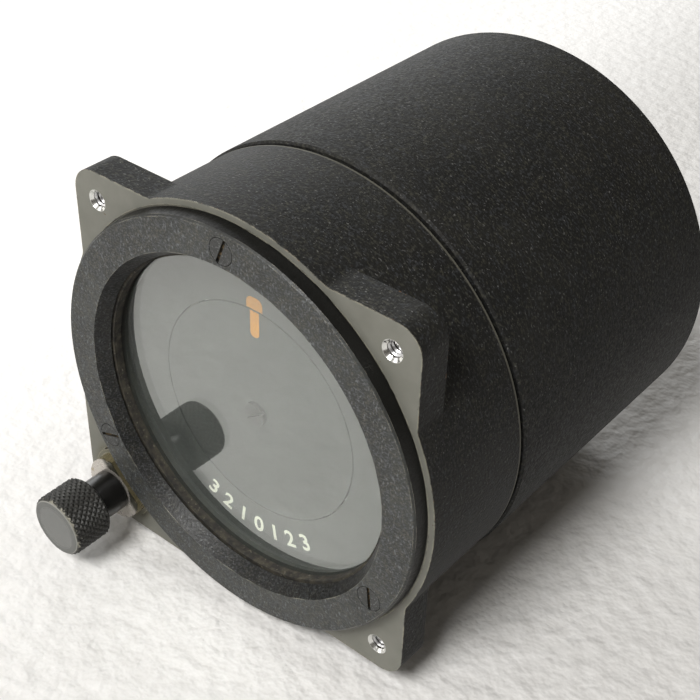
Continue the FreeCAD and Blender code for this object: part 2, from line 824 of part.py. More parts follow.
def make_end_bell():
    boss_back = rear_bearing_back + bearing_lip
    spigot_outer = housing_bore_radius - seat_gap
    spigot_inner = spigot_outer - end_bell_spigot_width
    bell = turned([(0, housing_end), (spigot_inner, housing_end),
                   (spigot_inner, housing_end - end_bell_spigot),
                   (spigot_outer, housing_end - end_bell_spigot), (spigot_outer, housing_end),
                   (housing_radius, housing_end), (housing_radius, end_bell_back),
                   (bearing_boss_radius, end_bell_back), (bearing_boss_radius, boss_back),
                   (0, boss_back)])
    bell = bell.cut(rod(bearing_radius, rear_bearing_front, boss_back + overshoot))
    bell = bell.cut(rod(shaft_radius + shaft_room, housing_end - overshoot, rear_bearing_front))
    for degrees in end_bell_screw_angles:
        place = polar_degrees(end_bell_screw_circle_radius, degrees)
        bell = bell.cut(rod(end_bell_screw_radius + screw_play, housing_end - overshoot,
                            end_bell_back + overshoot, place))
    return bell


def make_end_bell_screws():
    screws = []
    for degrees in end_bell_screw_angles:
        place = polar_degrees(end_bell_screw_circle_radius, degrees)
        screws.append(rear_screw(end_bell_screw_head_radius, end_bell_screw_head_height,
                                 end_bell_screw_radius, end_bell_back,
                                 housing_end - end_bell_screw_bite, place, degrees))
    return Part.makeCompound(screws)


def stator_slot(front, back):
    """One winding slot: a narrow mouth at the bore and a wider body behind it."""
    half = slot_body_width / 2
    mouth = slot_mouth / 2
    body = box(slot_inner_radius, slot_root_radius, front, back, -half, half)
    throat = box(core_bore_radius - overshoot, slot_inner_radius + overshoot, front, back,
                 -mouth, mouth)
    return body.fuse(throat)


def make_stator_core():
    core = tube(housing_bore_radius - seat_gap, core_bore_radius, core_front, core_back)
    slot = stator_slot(core_front - overshoot, core_back + overshoot)
    return core.cut([turn(slot, index * 360 / slot_count) for index in range(slot_count)])


def make_stator_winding():
    outer = slot_root_radius - coil_clearance
    inner = slot_inner_radius + coil_clearance
    winding = tube(outer, inner, core_front - end_turn_length, core_front - coil_clearance)
    winding = winding.fuse(tube(outer, inner, core_back + coil_clearance,
                                core_back + end_turn_length))
    half = slot_body_width / 2 - coil_clearance
    bar = box(inner + coil_bar_margin, outer - coil_bar_margin, core_front - overshoot,
              core_back + overshoot, -half, half)
    bars = [turn(bar, index * 360 / slot_count) for index in range(slot_count)]
    return winding.fuse(bars).removeSplitter()


def make_rotor_core():
    core = rod(rotor_radius, core_front, core_back)
    window = box(-rotor_neck_radius, rotor_neck_radius, core_front - overshoot,
                 core_back + overshoot, rotor_neck_width / 2, rotor_radius)
    core = core.cut([window, turn(window, 180)])
    return core.cut(rod(shaft_radius, core_front - overshoot, core_back + overshoot))


def make_rotor_winding():
    gap = coil_clearance
    half = rotor_neck_width / 2 + gap
    reach = rotor_neck_radius - gap
    front = core_front - rotor_coil_length
    back = core_back + rotor_coil_length
    coil = box(-reach, reach, front, back, -half - rotor_coil_height, half + rotor_coil_height)
    coil = coil.common(rod(rotor_radius - rotor_coil_margin, front, back))
    coil = coil.cut(box(-reach - overshoot, reach + overshoot, core_front - gap, core_back + gap,
                        -half, half))
    return coil.cut(rod(shaft_radius + gap, front - overshoot, back + overshoot))


def make_rotor_shaft():
    shaft = rod(shaft_radius, shaft_front, shaft_end)
    return shaft.cut(rod(centre_screw_radius, shaft_front - overshoot,
                         shaft_front + centre_screw_length))


def make_centre_screw():
    return slotted_screw(centre_screw_head_radius, centre_screw_head_height, centre_screw_radius,
                         dial_front, shaft_front + centre_screw_length - tip_gap, Vector(0, 0, 0),
                         centre_slot_angle)


def make_bearing_outer(front, back):
    race = bearing_radius - bearing_outer_rim
    lip = shaft_radius + bearing_inner_rim + bearing_shield_gap
    shield = bearing_shield
    return turned([(bearing_radius, front), (bearing_radius, back), (lip, back),
                   (lip, back - shield), (race, back - shield), (race, front + shield),
                   (lip, front + shield), (lip, front)])


def make_bearing_inner(front, back):
    return tube(shaft_radius + bearing_inner_rim, shaft_radius, front, back)


def ring_places():
    middle = slip_sleeve_front + slip_sleeve_length / 2
    return [middle - slip_ring_pitch / 2, middle + slip_ring_pitch / 2]


def make_slip_sleeve():
    return tube(slip_sleeve_radius, shaft_radius, slip_sleeve_front,
                slip_sleeve_front + slip_sleeve_length)


def make_slip_rings():
    half = slip_ring_width / 2
    return Part.makeCompound([tube(slip_ring_radius, slip_sleeve_radius, y - half, y + half)
                              for y in ring_places()])


def make_brushes():
    brushes = []
    half = brush_width / 2
    for y in ring_places():
        brush = box(slip_ring_radius - overshoot, brush_root_radius + brush_length,
                    y - half, y + half, -brush_height / 2, brush_height / 2)
        brushes.append(brush.cut(rod(brush_root_radius, y - brush_width, y + brush_width)))
    return Part.makeCompound(brushes)


def make_brush_block():
    inner = brush_root_radius + brush_reach
    outer = inner + brush_block_height
    half = brush_block_width / 2
    block = box(inner, outer, slip_sleeve_front, housing_end, -half, half)
    for y in ring_places():
        block = block.cut(box(inner - overshoot, brush_root_radius + brush_length,
                              y - brush_width / 2, y + brush_width / 2,
                              -brush_height / 2, brush_height / 2))
    return block


def receptacle_screw_places():
    offset = receptacle_screw_spacing / 2
    return [Vector(x * offset, 0, z * offset) for x in (-1, 1) for z in (-1, 1)]


def square_plate(side, corner_radius, front, back):
    half = side / 2
    plate = box(-half, half, front, back, -half, half)
    return round_edges(plate, corner_radius, is_along_y)


def make_receptacle_gasket():
    pad = square_plate(receptacle_flange, receptacle_corner_radius, can_end,
                       flange_front_of_receptacle)
    pad = pad.cut(rod(receptacle_shell_radius + receptacle_hole_clearance, can_end - overshoot,
                      flange_front_of_receptacle + overshoot))
    for place in receptacle_screw_places():
        pad = pad.cut(rod(receptacle_screw_radius + screw_play, can_end - overshoot,
                          flange_front_of_receptacle + overshoot, place))
    return pad


def make_receptacle_shell():
    shell = square_plate(receptacle_flange, receptacle_corner_radius,
                         flange_front_of_receptacle, flange_back_of_receptacle)
    shell = shell.fuse(rod(receptacle_shell_radius, receptacle_front, receptacle_mouth))
    shell = shell.cut(rod(receptacle_bore_radius, receptacle_front - overshoot,
                          receptacle_mouth + overshoot))
    key = box(-receptacle_key_width / 2, receptacle_key_width / 2, insert_face, receptacle_mouth,
              receptacle_bore_radius - receptacle_key_height,
              receptacle_bore_radius + receptacle_shell_wall / 2)
    shell = shell.fuse(key)
    for place in receptacle_screw_places():
        shell = shell.cut(rod(receptacle_screw_radius + screw_play,
                              flange_front_of_receptacle - overshoot,
                              flange_back_of_receptacle + overshoot, place))
    return shell.removeSplitter()


def contact_places():
    return [polar_degrees(contact_circle_radius, 90 + index * 360 / contact_count)
            for index in range(contact_count)]


def make_receptacle_insert():
    insert = rod(receptacle_bore_radius - seat_gap, insert_front, insert_face)
    for place in contact_places():
        insert = insert.cut(rod(contact_radius, insert_front - overshoot,
                                insert_face + overshoot, place))
    return insert


def make_receptacle_contacts():
    contacts = []
    for place in contact_places():
        contact = rod(contact_radius - seat_gap, insert_front - contact_tail, insert_face, place)
        contact = contact.cut(rod(contact_socket_radius, insert_face - contact_socket_depth,
                                  insert_face + overshoot, place))
        contacts.append(contact)
    return Part.makeCompound(contacts)


def make_receptacle_screws():
    screws = []
    for place in receptacle_screw_places():
        screws.append(rear_screw(receptacle_screw_head_radius, receptacle_screw_head_height,
                                 receptacle_screw_radius, flange_back_of_receptacle,
                                 can_floor_front - receptacle_screw_stand_out, place, 45))
    return Part.makeCompound(screws)


PIECES = {
    "front_case": make_front_case(),
    "rear_case": make_rear_case(),
    "case_gasket": make_case_gasket(),
    "bezel_ring": make_bezel_ring(),
    "bezel_screws": make_bezel_screws(),
    "glass_gasket": tube(glass_radius, bezel_throat_radius - gasket_overhang,
                         gasket_front, glass_front),
    "cover_glass": rod(glass_radius, glass_front, spacer_front),
    "glass_spacer": tube(glass_radius, glass_radius - spacer_width, spacer_front, dial_front),
    "dial_ring": tube(glass_radius, disc_radius + disc_gap, dial_front, ledge_front),
    "dial_disc": tube(disc_radius, centre_screw_radius + screw_play, dial_front, disc_back),
    "disc_hub": make_disc_hub(),
    "centre_screw": make_centre_screw(),
    "knob": make_knob(),
    "knob_set_screw": make_knob_set_screw(),
    "knob_shaft": make_knob_shaft(),
    "knob_bushing": make_knob_bushing(),
    "shaft_packing": make_shaft_packing(),
    "shaft_clip": open_ring(knob_shaft_radius, shaft_clip_front, knob_axis, 45),
    "knob_pinion": make_knob_pinion(),
    "idler_gear": make_idler_gear(),
    "idler_post": make_idler_post(),
    "idler_clip": open_ring(idler_post_radius, idler_clip_front, idler_axis, 30),
    "ring_gear": make_ring_gear(),
    "gear_screws": make_gear_screws(),
    "mounting_plate": make_mounting_plate(),
    "plate_screws": make_plate_screws(),
    "case_pillars": make_case_pillars(),
    "case_screws": make_case_screws(),
    "stator_clamps": make_stator_clamps(),
    "clamp_screws": make_clamp_screws(),
    "stator_housing": make_stator_housing(),
    "stator_core": make_stator_core(),
    "stator_winding": make_stator_winding(),
    "end_bell": make_end_bell(),
    "end_bell_screws": make_end_bell_screws(),
    "brush_block": make_brush_block(),
    "brushes": make_brushes(),
    "rotor_shaft": make_rotor_shaft(),
    "rotor_core": make_rotor_core(),
    "rotor_winding": make_rotor_winding(),
    "slip_sleeve": make_slip_sleeve(),
    "slip_rings": make_slip_rings(),
    "front_bearing_outer": make_bearing_outer(front_bearing_front, front_bearing_back),
    "front_bearing_inner": make_bearing_inner(front_bearing_front, front_bearing_back),
    "rear_bearing_outer": make_bearing_outer(rear_bearing_front, rear_bearing_back),
    "rear_bearing_inner": make_bearing_inner(rear_bearing_front, rear_bearing_back),
    "receptacle_gasket": make_receptacle_gasket(),
    "receptacle_shell": make_receptacle_shell(),
    "receptacle_insert": make_receptacle_insert(),
    "receptacle_contacts": make_receptacle_contacts(),
    "receptacle_screws": make_receptacle_screws(),
}

os.makedirs("parts", exist_ok=True)
for name, shape in PIECES.items():
    shape.exportStep("parts/" + name + ".step")
    print(name, "valid" if shape.isValid() else "NOT VALID", len(shape.Solids), "solids",
          round(shape.Volume, 1), "mm3")
print("gears:", ring_gear_teeth, idler_teeth, pinion_teeth, "idler axis", idler_axis)
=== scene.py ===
import json
import math

import bmesh
import bpy
from mathutils import Matrix, Vector


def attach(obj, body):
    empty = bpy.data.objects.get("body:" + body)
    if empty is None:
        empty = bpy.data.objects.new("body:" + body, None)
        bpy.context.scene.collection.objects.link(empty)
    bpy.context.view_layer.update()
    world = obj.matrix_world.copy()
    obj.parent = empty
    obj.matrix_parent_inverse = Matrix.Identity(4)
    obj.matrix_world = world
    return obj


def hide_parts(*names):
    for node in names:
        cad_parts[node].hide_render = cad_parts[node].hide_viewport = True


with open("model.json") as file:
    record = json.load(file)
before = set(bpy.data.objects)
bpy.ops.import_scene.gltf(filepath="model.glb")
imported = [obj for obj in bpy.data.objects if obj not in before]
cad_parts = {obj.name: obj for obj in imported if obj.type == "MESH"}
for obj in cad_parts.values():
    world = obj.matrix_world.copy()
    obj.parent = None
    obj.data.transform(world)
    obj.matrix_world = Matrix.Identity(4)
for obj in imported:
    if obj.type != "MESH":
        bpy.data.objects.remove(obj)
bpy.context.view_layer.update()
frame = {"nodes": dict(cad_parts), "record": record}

# The frame is in metres. Sizes below are in millimetres and pass through MM.
MM = 0.001
FORWARD = (0, -1, 0)
UPWARD = (0, 0, 1)

# Sizes that repeat the CAD source's
HOLE = 31.4325
HOLE_RADIUS = 1.4
KNOB_AXIS = (-HOLE, -HOLE)
KNOB_FACE = 17.6
KNOB_SHOULDER = 9.3
KNOB_RADIUS = 6.3
KNOB_CHAMFER = 0.65
NECK_RADIUS = 0.5
SHAFT_RADIUS = 1.6
BORE_FLOOR = 2.2
SET_SCREW_RADIUS = 0.9
SET_SCREW_Y = -7.7
DIAL_FACE = 5.45
DISC_RADIUS = 21.25

# Sizes of the visual model alone. The collar is the photograph's, which the CAD solid misses a little.
COLLAR_RADIUS = 4.15
KNOB_BACK = 3.3
SET_SCREW_HOLE_DEPTH = 4
SET_SCREW_HOLE_MIDDLE = 3.6
KNURL_TEETH = 30
KNURL_DEPTH = 0.34
KNURL_COLUMNS = 408
KNURL_ROWS = 84
THREAD_START = 0.62
THREAD_PITCH = 0.794
THREAD_TURNS = 7
THREAD_DEPTH = 0.27
PAINT_THICKNESS = 0.04
PAINT_SUNK = 0.02
FIGURE_RADIUS = 26.4
FIGURE_HEIGHT = 3.3
FIGURE_SPACING = 8.4
FIGURE_BOLDNESS = 0.09
FONT_CAPITAL_SHARE = 0.69

# Camera, from the photograph's perspective
CAMERA_PLACE = (0.12338438, -0.12394603, 0.14715246)
CAMERA_RIGHT = (0.76756954, 0.64053202, 0.0235742)
CAMERA_DOWN = (0.39918316, -0.44893078, -0.79944603)
CAMERA_AHEAD = (-0.50148759, 0.62304084, -0.60027519)
CAMERA_LENS = 69.1407
SENSOR = 36

FLOOR_Z = -41.7
FLOOR_SIZE = 1600
FLOOR_STEP = 100


class Surface:
    """A material that is put together from nodes around one Principled shader."""

    def __init__(self, name, colour, roughness, metallic=0.0):
        self.material = bpy.data.materials.new(name)
        self.material.use_nodes = True
        tree = self.material.node_tree
        self.nodes, self.links = tree.nodes, tree.links
        self.nodes.clear()
        self.output = self.add("ShaderNodeOutputMaterial")
        self.shader = self.add("ShaderNodeBsdfPrincipled")
        self.links.new(self.shader.outputs[0], self.output.inputs["Surface"])
        coordinates = self.add("ShaderNodeTexCoord")
        self.place = coordinates.outputs["Object"]
        self.facing = coordinates.outputs["Normal"]
        self.set("Base Color", (*colour, 1))
        self.set("Roughness", roughness)
        self.set("Metallic", metallic)

    def add(self, kind, inputs=None, **settings):
        node = self.nodes.new(kind)
        for key, value in settings.items():
            setattr(node, key, value)
        for key, value in (inputs or {}).items():
            self.feed(node.inputs[key], value)
        return node

    def feed(self, socket, value):
        if isinstance(value, bpy.types.NodeSocket):
            self.links.new(value, socket)
        else:
            socket.default_value = value

    def set(self, name, value):
        self.feed(self.shader.inputs[name], value)

    def noise(self, size, detail=2.0, stretch=None, seed=0.0):
        """Soft noise, 0 to 1, whose lumps are about size millimetres across."""
        place = self.place
        if stretch or seed:
            place = self.add("ShaderNodeMapping", {"Vector": place, "Location": (seed, seed, seed),
                                                   "Scale": stretch or (1, 1, 1)}).outputs[0]
        return self.add("ShaderNodeTexNoise", {"Vector": place, "Scale": 1 / (size * MM),
                                               "Detail": detail}).outputs[0]

    def ramp(self, value, low, high, start=0.0, end=1.0):
        """Smooth step from start to end as value goes from low to high."""
        return self.add("ShaderNodeMapRange", {"Value": value, "From Min": low, "From Max": high,
                                               "To Min": start, "To Max": end},
                        interpolation_type="SMOOTHSTEP").outputs[0]

    def math(self, operation, a, b=0.0):
        return self.add("ShaderNodeMath", {0: a, 1: b}, operation=operation).outputs[0]

    def mix(self, share, a, b):
        """Colour a where share is 0, colour b where it is 1."""
        node = self.add("ShaderNodeMix", {0: share}, data_type="RGBA")
        for index, colour in ((6, a), (7, b)):
            if not isinstance(colour, bpy.types.NodeSocket):
                colour = (*colour, 1)
            self.feed(node.inputs[index], colour)
        return node.outputs[2]

    def between(self, share, a, b):
        """Number a where share is 0, number b where it is 1."""
        return self.add("ShaderNodeMix", {0: share, 2: a, 3: b}, data_type="FLOAT").outputs[0]

    def dot(self, a, b):
        return self.add("ShaderNodeVectorMath", {0: a, 1: b}, operation="DOT_PRODUCT").outputs["Value"]

    def axis(self, index):
        """One coordinate of the surface point, in millimetres."""
        split = self.add("ShaderNodeSeparateXYZ", {0: self.place})
        return self.math("MULTIPLY", split.outputs[index], 1 / MM)

    def radius(self, x=0.0, z=0.0):
        """Distance from an axis along Y through x, z, in millimetres."""
        dx = self.math("SUBTRACT", self.axis(0), x)
        dz = self.math("SUBTRACT", self.axis(2), z)
        return self.length(dx, dz)

    def length(self, a, b):
        """Length of the vector a, b."""
        total = self.math("ADD", self.math("MULTIPLY", a, a), self.math("MULTIPLY", b, b))
        return self.math("SQRT", total)

    def rounded(self, radius):
        """The normal as if edges were rounded off by radius millimetres."""
        return self.add("ShaderNodeBevel", {"Radius": radius * MM}, samples=6).outputs[0]

    def edges(self, radius, low, high):
        """1 at edges, 0 on open faces."""
        plain = self.add("ShaderNodeNewGeometry").outputs["Normal"]
        bend = self.math("SUBTRACT", 1.0, self.dot(self.rounded(radius), plain))
        return self.ramp(bend, low, high)

    def bump(self, height, depth):
        """Relief that is depth millimetres high where height is 1."""
        inputs = {"Height": height, "Distance": depth * MM, "Strength": 1.0}
        self.set("Normal", self.add("ShaderNodeBump", inputs).outputs[0])


def grain(surface, size):
    """The lumps of crinkle enamel, with finer ones on them."""
    lumps = surface.noise(size, 1.5)
    fine = surface.noise(size * 0.45, 1.0, seed=0.3)
    return surface.math("ADD", lumps, surface.math("MULTIPLY", fine, 0.5))


def flecks(surface, size, share, soft=0.07, stretch=None, seed=0.0):
    """Small light specks, 1 where there is one."""
    return surface.ramp(surface.noise(size, 0.5, stretch, seed), share, share + soft)


def case_colour(surface):
    """Black enamel with dust in places, pale olive and bluish grain and a few brighter specks, partly dust
    and partly painted glints; faces that turn downwards are darkened as painted shade.
    """
    size = 0.62
    dust = surface.ramp(surface.noise(14, 3.0, seed=0.11), 0.38, 0.68)
    ground = surface.mix(dust, (0.0125, 0.0125, 0.0118), (0.0175, 0.0172, 0.0155))
    # Painted shade: the colour drops to about half on faces that turn downwards.
    painted_shade_by_facing = surface.ramp(surface.dot(surface.facing, UPWARD), -0.3, 0.9, 0.52, 1.0)
    tone = surface.mix(surface.ramp(surface.noise(1.6, 1.0, seed=0.63), 0.4, 0.6),
                       (0.044, 0.043, 0.034), (0.038, 0.040, 0.043))
    pale = surface.ramp(surface.noise(size, 1.0, (1, 1.5, 1), 0.7), 0.46, 0.74)
    colour = surface.mix(pale, ground, tone)
    # Painted glints mixed with dust: a few light specks on the enamel's lumps.
    specks = flecks(surface, size * 0.7, 0.68, 0.12, (1, 1.6, 1), 0.17)
    colour = surface.mix(specks, colour, (0.125, 0.125, 0.12))
    return surface.mix(painted_shade_by_facing, (0, 0, 0), colour)


def rear_case_paint():
    """Crinkle enamel on the can, rubbed at its edges."""
    surface = Surface("black_crinkle", (0.02, 0.02, 0.02), 0.45)
    colour = case_colour(surface)
    rub = surface.math("MULTIPLY", surface.edges(0.3, 0.04, 0.14), surface.noise(1.1, 2.0))
    colour = surface.mix(surface.ramp(rub, 0.5, 0.7), colour, (0.07, 0.068, 0.06))
    surface.set("Base Color", colour)
    surface.set("Roughness", surface.ramp(surface.noise(0.7, 2.0, seed=0.5), 0.3, 0.7, 0.58, 0.74))
    surface.set("Specular IOR Level", 0.2)
    surface.bump(grain(surface, 0.6), 0.13)
    return surface.material


def front_case_paint():
    """Crinkle enamel on the casting, with bare front faces, chipped edges and bright hole mouths; the holes
    darken further in as painted shade, and the bare lug face darkens round the knob with stain and painted
    shade.
    """
    surface = Surface("black_crinkle_and_bare", (0.02, 0.02, 0.02), 0.45)
    paint = case_colour(surface)
    soft = surface.dot(surface.rounded(0.5), FORWARD)
    ragged = surface.math("ADD", surface.noise(1.1, 4.0, seed=0.9), -0.5)
    level = surface.math("ADD", soft, surface.math("MULTIPLY", ragged, 1.3))
    bare = surface.ramp(level, 0.66, 0.72)
    rim = surface.math("MULTIPLY", surface.ramp(level, 0.45, 0.6), surface.ramp(soft, 0.97, 0.86))
    rim = surface.math("MULTIPLY", rim, surface.ramp(surface.noise(2.2, 3.0, seed=0.4), 0.38, 0.54))
    depth = surface.axis(1)
    seam = surface.math("MULTIPLY", surface.ramp(depth, 22.95, 23.1),
                        surface.ramp(surface.noise(5, 2.0, seed=0.21), 0.1, 0.4))
    dx = surface.math("SUBTRACT", surface.math("ABSOLUTE", surface.axis(0)), HOLE)
    dz = surface.math("SUBTRACT", surface.math("ABSOLUTE", surface.axis(2)), HOLE)
    mouth = surface.ramp(surface.length(dx, dz), 2.0, 1.9)
    cloud = surface.ramp(surface.noise(6, 3.0, seed=0.33), 0.35, 0.65)
    metal = surface.mix(cloud, (0.162, 0.162, 0.138), (0.186, 0.185, 0.160))
    # Olive stain and painted shade of the knob on the bare face, within about 9 mm of the knob's axis.
    stain_and_painted_shade_round_knob = surface.ramp(surface.radius(*KNOB_AXIS), 9.2, 7.6)
    metal = surface.mix(surface.math("MULTIPLY", stain_and_painted_shade_round_knob, 0.6), metal, (0.12, 0.112, 0.07))
    stain = surface.ramp(surface.noise(0.9, 3.0, seed=0.77), 0.72, 0.78)
    metal = surface.mix(stain, metal, (0.11, 0.085, 0.05))
    # Bright bare metal at the hole mouths, darkening deeper in as painted shade.
    hole_metal_and_painted_shade = surface.mix(surface.ramp(depth, 0.45, 0.8), (0.74, 0.74, 0.72), (0.16, 0.145, 0.12))
    rust = surface.math("MULTIPLY", surface.edges(0.5, 0.03, 0.12),
                        flecks(surface, 0.8, 0.68, 0.05, seed=0.37))
    paint = surface.mix(rust, paint, (0.16, 0.075, 0.03))
    colour = surface.mix(seam, paint, (0.105, 0.102, 0.084))
    colour = surface.mix(bare, colour, metal)
    colour = surface.mix(rim, colour, (0.36, 0.34, 0.27))
    colour = surface.mix(mouth, colour, hole_metal_and_painted_shade)
    surface.set("Base Color", colour)
    shine = surface.math("MAXIMUM", surface.math("MULTIPLY", rim, 0.5), mouth)
    surface.set("Metallic", surface.math("MAXIMUM", shine, surface.math("MULTIPLY", bare, 0.15)))
    smooth = surface.math("MAXIMUM", bare, mouth)
    surface.set("Roughness", surface.between(mouth, 0.6, 0.22))
    surface.set("Specular IOR Level", surface.ramp(smooth, 0.0, 1.0, 0.2, 0.5))
    lumps = surface.math("MULTIPLY", grain(surface, 0.6), surface.ramp(smooth, 1.0, 0.0, 0.05, 1.0))
    surface.bump(lumps, 0.13)
    return surface.material


def bezel_paint():
    """Finer enamel with many light flecks and a grey front; its outer side wall and the walls of its mouth
    are painted much darker as shade.
    """
    surface = Surface("black_enamel", (0.03, 0.03, 0.03), 0.4)
    out = surface.radius()
    outer = surface.ramp(out, 38.6, 39.0)
    ahead = surface.dot(surface.facing, FORWARD)
    front = surface.math("MAXIMUM", surface.ramp(ahead, 0.75, 0.95),
                         surface.math("MULTIPLY", surface.ramp(ahead, 0.1, 0.4), outer))
    cloud = surface.ramp(surface.noise(9, 3.0, seed=0.2), 0.35, 0.7)
    # Painted shade: faces that do not look to the front take a far darker ground.
    front_ground = surface.mix(cloud, (0.024, 0.025, 0.024), (0.037, 0.039, 0.036))
    painted_shade_walls = surface.mix(cloud, (0.004, 0.004, 0.0035), (0.008, 0.0078, 0.007))
    ground = surface.mix(front, painted_shade_walls, front_ground)
    tone = surface.mix(surface.ramp(surface.noise(1.5, 1.0, seed=0.63), 0.4, 0.6),
                       (0.080, 0.077, 0.062), (0.070, 0.076, 0.082))
    # Painted shade: the outer side wall gets no tone and no flecks.
    inward = surface.ramp(out, 39.5, 39.3)
    pale = surface.ramp(surface.noise(0.46, 1.0, (1, 1, 1.8), 0.53), 0.42, 0.72)
    patchy = surface.math("MULTIPLY", inward, surface.ramp(front, 0.0, 1.0, 0.35, 0.8))
    colour = surface.mix(surface.math("MULTIPLY", pale, patchy), ground, tone)
    # Light flecks, partly the enamel's own and partly painted glints on its lumps.
    bright = surface.math("MAXIMUM", flecks(surface, 0.31, 0.63, 0.14, (1, 1, 0.5), 0.17),
                          flecks(surface, 0.31, 0.65, 0.14, (0.5, 1, 1), 0.81))
    share = surface.math("MULTIPLY", inward, surface.ramp(front, 0.0, 1.0, 0.45, 1.0))
    colour = surface.mix(surface.math("MULTIPLY", bright, share), colour, (0.108, 0.115, 0.120))
    worn = surface.math("MULTIPLY", surface.edges(0.28, 0.03, 0.10),
                        surface.ramp(surface.noise(4.0, 3.0, seed=0.61), 0.44, 0.6))
    inner = surface.math("MULTIPLY", surface.ramp(out, 33.5, 33.3), surface.ramp(out, 32.9, 33.05))
    worn = surface.math("MULTIPLY", worn, surface.math("MAXIMUM", outer, inner))
    colour = surface.mix(worn, colour, (0.30, 0.285, 0.23))
    surface.set("Base Color", colour)
    surface.set("Specular IOR Level", 0.35)
    surface.set("Roughness", surface.ramp(surface.noise(0.6, 2.0, seed=0.8), 0.3, 0.7, 0.38, 0.52))
    surface.bump(grain(surface, 0.5), 0.07)
    return surface.material


def bezel_screw_steel():
    """Black enamel over the heads, worn brown in the slots."""
    surface = Surface("blackened_steel", (0.03, 0.03, 0.03), 0.45)
    depth = surface.axis(1)
    front = surface.ramp(depth, -2.35, -2.6)
    specks = flecks(surface, 0.28, 0.60, 0.1, seed=0.31)
    ground = surface.mix(specks, (0.024, 0.025, 0.024), (0.09, 0.093, 0.095))
    rust = surface.mix(surface.ramp(surface.noise(0.5, 3.0), 0.45, 0.7), (0.005, 0.004, 0.003),
                       (0.16, 0.11, 0.05))
    colour = surface.mix(front, rust, ground)
    surface.set("Base Color", colour)
    surface.set("Roughness", surface.ramp(surface.noise(0.5), 0.3, 0.7, 0.4, 0.6))
    surface.bump(surface.noise(0.34, 2.0), 0.04)
    return surface.material


def worn_gasket():
    """Dark brown rubber, worn in patches."""
    surface = Surface("gasket", (0.05, 0.042, 0.028), 0.8)
    patch = surface.ramp(surface.noise(1.4, 4.0), 0.35, 0.7)
    colour = surface.mix(patch, (0.012, 0.011, 0.009), (0.050, 0.043, 0.030))
    colour = surface.mix(flecks(surface, 0.5, 0.66, 0.14, seed=0.4), colour, (0.11, 0.10, 0.075))
    surface.set("Base Color", colour)
    surface.bump(surface.noise(0.5, 3.0), 0.12)
    return surface.material


def dial_lacquer():
    """Matte black lacquer, a little cloudy, with few specks of dust."""
    surface = Surface("dial_black", (0.02, 0.021, 0.021), 0.62)
    cloud = surface.ramp(surface.noise(7, 4.0), 0.3, 0.7)
    colour = surface.mix(cloud, (0.038, 0.041, 0.038), (0.048, 0.051, 0.047))
    colour = surface.mix(flecks(surface, 0.3, 0.74, seed=0.2), colour, (0.085, 0.087, 0.082))
    surface.set("Base Color", colour)
    surface.set("Roughness", surface.ramp(surface.noise(0.4), 0.3, 0.7, 0.55, 0.7))
    surface.bump(surface.noise(0.22, 2.0), 0.004)
    return surface.material


def knob_finish():
    """Black knurl with worn points, a matte grey end face with a bright chamfer, a smooth collar."""
    surface = Surface("knob_black", (0.02, 0.02, 0.02), 0.4)
    x, z = KNOB_AXIS
    out = surface.radius(x, z)
    depth = surface.axis(1)
    ahead = surface.ramp(surface.dot(surface.facing, FORWARD), 0.25, 0.5)
    face = surface.math("MULTIPLY", surface.ramp(surface.dot(surface.facing, FORWARD), 0.9, 0.97),
                        surface.ramp(depth, -17.3, -17.5))
    chamfer = surface.math("MULTIPLY", surface.math("MULTIPLY", ahead, surface.math("SUBTRACT", 1.0, face)),
                           surface.ramp(depth, -16.85, -17.0))
    rim = surface.ramp(out, 5.83, 5.75)
    lean = surface.math("ADD", surface.axis(0), surface.axis(2))
    lean = surface.math("MULTIPLY", surface.math("SUBTRACT", lean, x + z), 0.014)
    wear = surface.ramp(surface.math("ADD", surface.noise(1.5, 3.0, seed=0.15), lean), 0.53, 0.62)
    points = surface.math("MULTIPLY", surface.ramp(out, 6.12, 6.28),
                          surface.ramp(surface.noise(1.5, 3.0, seed=0.35), 0.5, 0.7))
    smooth = surface.ramp(out, COLLAR_RADIUS + 0.5, COLLAR_RADIUS + 0.2)
    ground = surface.mix(surface.noise(0.7, 3.0), (0.013, 0.0125, 0.0115), (0.030, 0.029, 0.026))
    ground = surface.mix(smooth, ground, (0.007, 0.0065, 0.006))
    colour = surface.mix(points, ground, (0.045, 0.043, 0.036))
    colour = surface.mix(chamfer, colour, (0.042, 0.041, 0.035))
    colour = surface.mix(surface.math("MULTIPLY", chamfer, wear), colour, (0.24, 0.23, 0.19))
    colour = surface.mix(surface.math("MULTIPLY", chamfer, rim), colour, (0.28, 0.28, 0.26))
    brushed = surface.mix(surface.noise(4.0, 4.0, seed=0.44), (0.115, 0.118, 0.112), (0.128, 0.131, 0.125))
    colour = surface.mix(face, colour, brushed)
    surface.set("Base Color", colour)
    surface.set("Metallic", surface.math("MULTIPLY", chamfer, 0.4))
    surface.set("Roughness", surface.between(smooth, 0.55, 0.25))
    surface.bump(surface.noise(0.2, 2.0), 0.01)
    return surface.material


